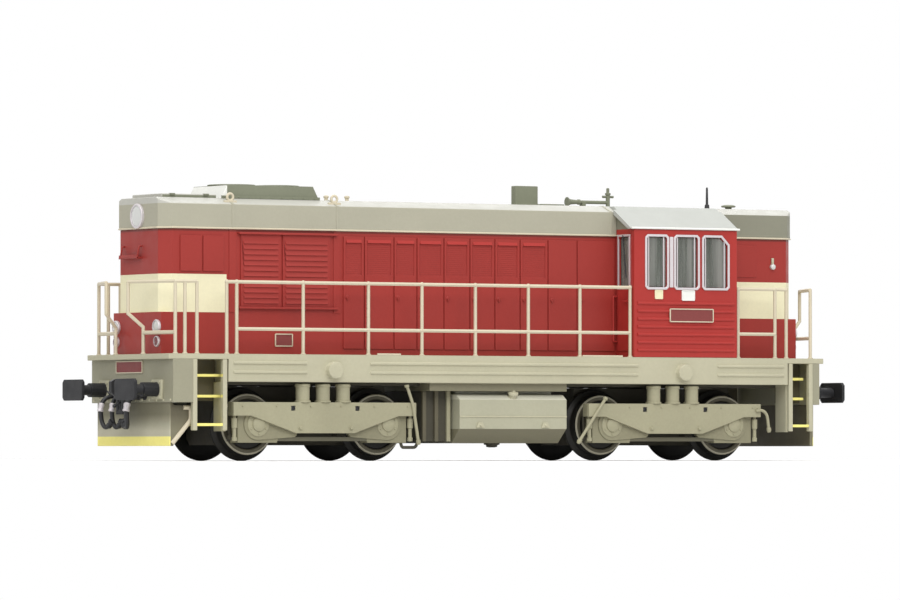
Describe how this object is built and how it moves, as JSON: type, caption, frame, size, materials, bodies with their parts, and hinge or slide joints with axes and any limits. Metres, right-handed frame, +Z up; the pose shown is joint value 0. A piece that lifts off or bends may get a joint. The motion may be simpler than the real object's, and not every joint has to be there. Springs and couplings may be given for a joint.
{
  "type": "model diesel locomotive",
  "caption": "Scale-model hood diesel locomotive in red and cream with a high cab, long and short hoods, handrails, rectangular buffers, swivelling bogies and spinning wheelsets.",
  "frame": {"origin": "middle of the model, on the plane under the wheel flanges", "axes": "+X towards the cab and short hood, +Z up, -Y to the left when looking along -X"},
  "size_m": [0.1562, 0.0338, 0.0528],
  "materials": {
    "body_red": "satin paint on moulded plastic",
    "frame_beige": "matt paint on moulded plastic and die casting",
    "bogie_beige": "matt paint on moulded plastic",
    "underframe_grey": "matt dark paint",
    "roof_grey": "matt paint on moulded plastic",
    "cab_roof_grey": "satin paint on moulded plastic",
    "olive_grey": "matt paint on moulded plastic",
    "black_plastic": "matt black plastic",
    "window_metal": "printed silver frame",
    "clear_glazing": "clear plastic glazing",
    "cab_interior": "matt plastic",
    "lamp_lens": "clear lens in a bright rim",
    "wheel_steel": "turned metal",
    "drive_metal": "die-cast metal"
  },
  "bodies": {
    "body": {"aerial": "black_plastic", "brake_hoses_front": "black_plastic", "brake_hoses_rear": "black_plastic", "buffers_front": "black_plastic", "buffers_rear": "black_plastic", "cab_desk": "cab_interior", "cab_doors": "body_red", "cab_front_wall": "body_red", "cab_glass": "clear_glazing", "cab_rear_wall": "body_red", "cab_roof": "cab_roof_grey", "cab_seats": "cab_interior", "cab_side_left": "body_red", "cab_side_right": "body_red", "cab_window_frames": "window_metal", "coupling_front": "black_plastic", "coupling_rear": "black_plastic", "drive_block": "drive_metal", "end_rail_front": "frame_beige", "end_rail_rear": "frame_beige", "equipment_box": "underframe_grey", "exhaust_stack": "olive_grey", "fan_cowl": "olive_grey", "fans": "olive_grey", "frame": "frame_beige", "fuel_tank": "frame_beige", "handrail_left": "frame_beige", "handrail_right": "frame_beige", "headstock_front": "frame_beige", "headstock_rear": "frame_beige", "hood_doors_left": "body_red", "hood_doors_right": "body_red", "hood_long": "body_red", "hood_long_roof": "roof_grey", "hood_short": "body_red", "hood_short_roof": "roof_grey", "horns": "olive_grey", "kingpins": "drive_metal", "lamps_front": "lamp_lens", "lamps_rear": "lamp_lens", "lifting_eyes": "roof_grey", "plough_front": "frame_beige", "plough_rear": "frame_beige", "radiator_louvres_left": "body_red", "radiator_louvres_right": "body_red", "roof_hatch": "roof_grey", "roof_vent": "olive_grey", "steps_front": "frame_beige", "steps_rear": "frame_beige"},
    "bogie_front": {"bogie_front_brakes": "underframe_grey", "bogie_front_frame": "underframe_grey", "bogie_front_sides": "bogie_beige"},
    "bogie_rear": {"bogie_rear_brakes": "underframe_grey", "bogie_rear_frame": "underframe_grey", "bogie_rear_sides": "bogie_beige"},
    "wheelset_1": {"wheelset_1": "wheel_steel"},
    "wheelset_2": {"wheelset_2": "wheel_steel"},
    "wheelset_3": {"wheelset_3": "wheel_steel"},
    "wheelset_4": {"wheelset_4": "wheel_steel"}
  },
  "joints": [
    {"name": "bogie_front_swivel", "type": "hinge", "parent": "body", "child": "bogie_front", "pos_m": [-0.0385, 0, 0.00675], "axis": [0, 0, 1], "range_deg": [-6.5, 6.5]},
    {"name": "bogie_rear_swivel", "type": "hinge", "parent": "body", "child": "bogie_rear", "pos_m": [0.0385, 0, 0.00675], "axis": [0, 0, 1], "range_deg": [-6.5, 6.5]},
    {"name": "wheelset_1_spin", "type": "hinge", "parent": "bogie_front", "child": "wheelset_1", "pos_m": [-0.0523, 0, 0.00675], "axis": [0, 1, 0], "continuous": true},
    {"name": "wheelset_2_spin", "type": "hinge", "parent": "bogie_front", "child": "wheelset_2", "pos_m": [-0.0247, 0, 0.00675], "axis": [0, 1, 0], "continuous": true},
    {"name": "wheelset_3_spin", "type": "hinge", "parent": "bogie_rear", "child": "wheelset_3", "pos_m": [0.0247, 0, 0.00675], "axis": [0, 1, 0], "continuous": true},
    {"name": "wheelset_4_spin", "type": "hinge", "parent": "bogie_rear", "child": "wheelset_4", "pos_m": [0.0523, 0, 0.00675], "axis": [0, 1, 0], "continuous": true}
  ]
}
